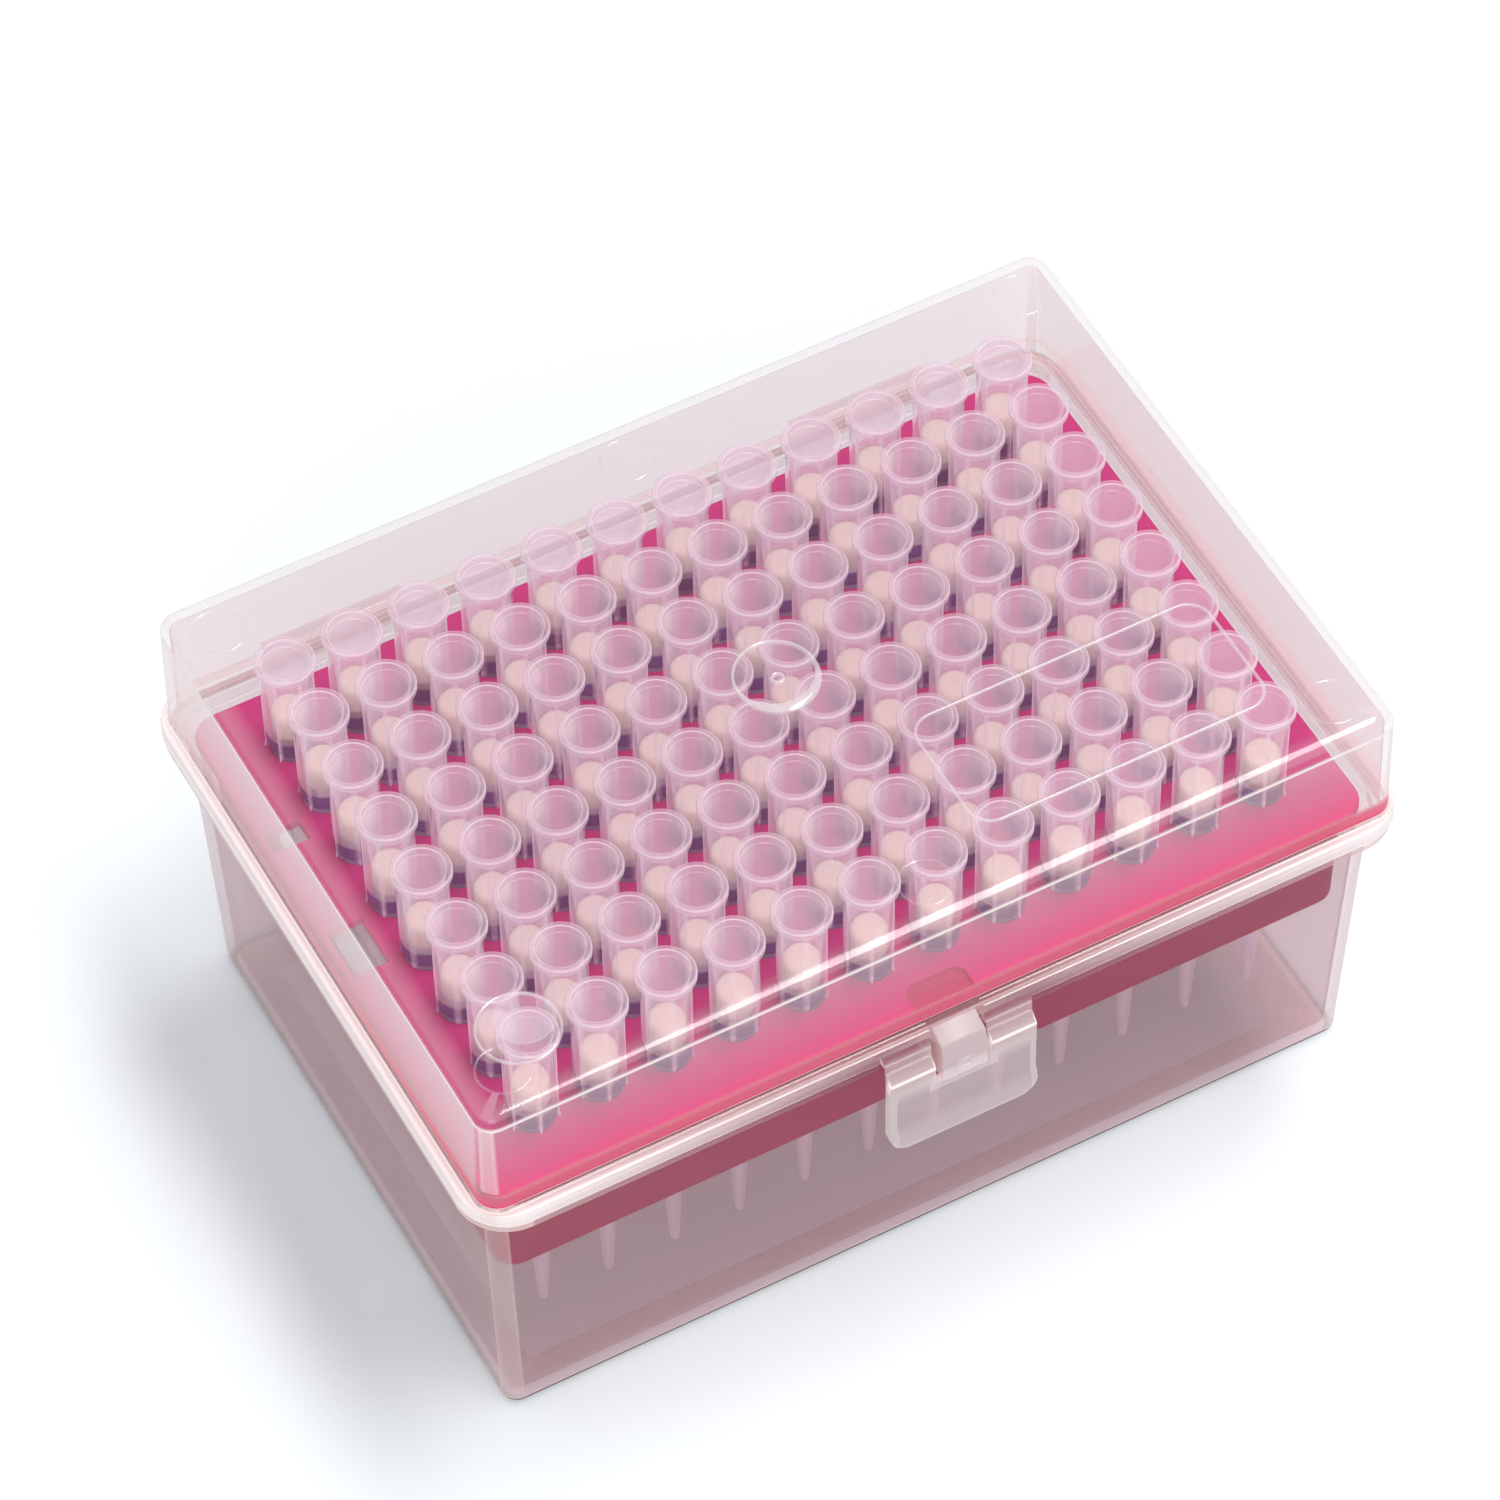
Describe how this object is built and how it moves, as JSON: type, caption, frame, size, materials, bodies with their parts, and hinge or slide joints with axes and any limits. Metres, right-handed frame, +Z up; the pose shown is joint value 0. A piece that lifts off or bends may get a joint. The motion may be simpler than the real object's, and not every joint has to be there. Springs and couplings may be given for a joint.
{
  "type": "pipette tip box",
  "caption": "Hinged-lid see-through box holding rows of filter pipette tips in a perforated rack, with a front latch flap.",
  "frame": {"origin": "centre of the tray's underside, on the surface it stands on", "axes": "+Z up, +X to the right along the twelve columns seen from the latch, -Y towards the latch"},
  "size_m": [0.1264, 0.0937, 0.0649],
  "materials": {
    "tray_plastic": "natural clear polypropylene, smooth",
    "lid_plastic": "natural clear polypropylene, glossy",
    "latch_plastic": "natural polypropylene, milky where thick",
    "rack_plastic": "magenta polypropylene, satin",
    "tip_plastic": "natural polypropylene, milky, with a cream porous filter"
  },
  "bodies": {
    "box": {"tray": "tray_plastic", "tip_rack": "rack_plastic", "tip_h1": "tip_plastic", "tip_h2": "tip_plastic", "tip_h3": "tip_plastic", "tip_h4": "tip_plastic", "tip_h5": "tip_plastic", "tip_h6": "tip_plastic", "tip_h7": "tip_plastic", "tip_h8": "tip_plastic", "tip_h9": "tip_plastic", "tip_h10": "tip_plastic", "tip_h11": "tip_plastic", "tip_h12": "tip_plastic", "tip_g1": "tip_plastic", "tip_g2": "tip_plastic", "tip_g3": "tip_plastic", "tip_g4": "tip_plastic", "tip_g5": "tip_plastic", "tip_g6": "tip_plastic", "tip_g7": "tip_plastic", "tip_g8": "tip_plastic", "tip_g9": "tip_plastic", "tip_g10": "tip_plastic", "tip_g11": "tip_plastic", "tip_g12": "tip_plastic", "tip_f1": "tip_plastic", "tip_f2": "tip_plastic", "tip_f3": "tip_plastic", "tip_f4": "tip_plastic", "tip_f5": "tip_plastic", "tip_f6": "tip_plastic", "tip_f7": "tip_plastic", "tip_f8": "tip_plastic", "tip_f9": "tip_plastic", "tip_f10": "tip_plastic", "tip_f11": "tip_plastic", "tip_f12": "tip_plastic", "tip_e1": "tip_plastic", "tip_e2": "tip_plastic", "tip_e3": "tip_plastic", "tip_e4": "tip_plastic", "tip_e5": "tip_plastic", "tip_e6": "tip_plastic", "tip_e7": "tip_plastic", "tip_e8": "tip_plastic", "tip_e9": "tip_plastic", "tip_e10": "tip_plastic", "tip_e11": "tip_plastic", "tip_e12": "tip_plastic"},
    "lid": {"lid": "lid_plastic"},
    "latch": {"latch_flap": "latch_plastic"}
  },
  "joints": [
    {"name": "lid_hinge", "type": "hinge", "parent": "box", "child": "lid", "pos_m": [0, 0.0465, 0.0451], "axis": [-1, 0, 0], "range_deg": [0, 120]},
    {"name": "latch_fold", "type": "hinge", "parent": "lid", "child": "latch", "pos_m": [0, -0.04505, 0.0437], "axis": [-1, 0, 0], "range_deg": [0, 60], "stiffness_Nm_per_rad": 0.002}
  ]
}
